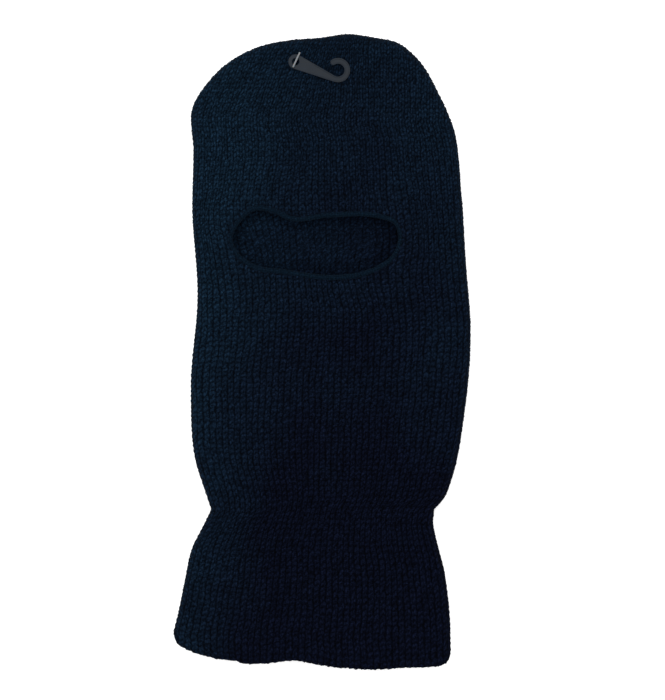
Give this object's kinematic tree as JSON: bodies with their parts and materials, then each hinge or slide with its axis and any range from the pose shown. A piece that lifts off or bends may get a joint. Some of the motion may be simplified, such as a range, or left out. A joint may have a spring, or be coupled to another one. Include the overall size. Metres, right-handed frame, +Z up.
{
  "type": "balaclava",
  "caption": "One-hole rib-knit balaclava lying flat, with a bound eye opening, a drawn-in waist, a flared neck part with an open mouth, and a plastic hang hook pinned to the crown.",
  "frame": {"origin": "on the surface the mask lies on, under the middle of its whole outline", "axes": "+Y to the crown, +X across the face to the viewer's right, +Z up through the layers"},
  "size_m": [0.1901, 0.4064, 0.0159],
  "materials": {
    "rib_knit": "matte",
    "binding_knit": "matte",
    "thread": "matte",
    "hook_plastic": "satin",
    "pin_nylon": "satin"
  },
  "bodies": {
    "hood": {"hood_front": "rib_knit", "hood_back": "rib_knit", "eye_binding": "binding_knit", "eye_stitching": "thread", "crown_seam": "thread"},
    "neck": {"neck_front": "rib_knit", "neck_back": "rib_knit", "hem_welt": "rib_knit"},
    "tag_pin": {"tag_pin_filament": "pin_nylon", "tag_pin_anchor": "pin_nylon"},
    "pin_bar": {"tag_pin_bar": "pin_nylon"},
    "hook": {"hang_hook": "hook_plastic"}
  },
  "joints": [
    {"name": "neck_fold", "type": "hinge", "parent": "hood", "child": "neck", "pos_m": [0, -0.1012, 0.0132], "axis": [-1, 0, 0], "range_deg": [0, 170]},
    {"name": "pin_rise", "type": "slide", "parent": "hood", "child": "tag_pin", "axis": [0, 0, 1], "range_m": [0, 0.0038]},
    {"name": "hook_swivel", "type": "hinge", "parent": "tag_pin", "child": "pin_bar", "pos_m": [-0.01589, 0.18609, 0.01325], "axis": [0, 0, 1], "continuous": true},
    {"name": "hook_lift", "type": "hinge", "parent": "pin_bar", "child": "hook", "pos_m": [-0.0164, 0.185, 0.01325], "axis": [-0.4226, -0.9063, 0], "range_deg": [0, 50]}
  ],
  "couplings": [
    {"joint": "pin_rise", "follows": "hook_lift", "m_per_rad": 0.0043}
  ]
}
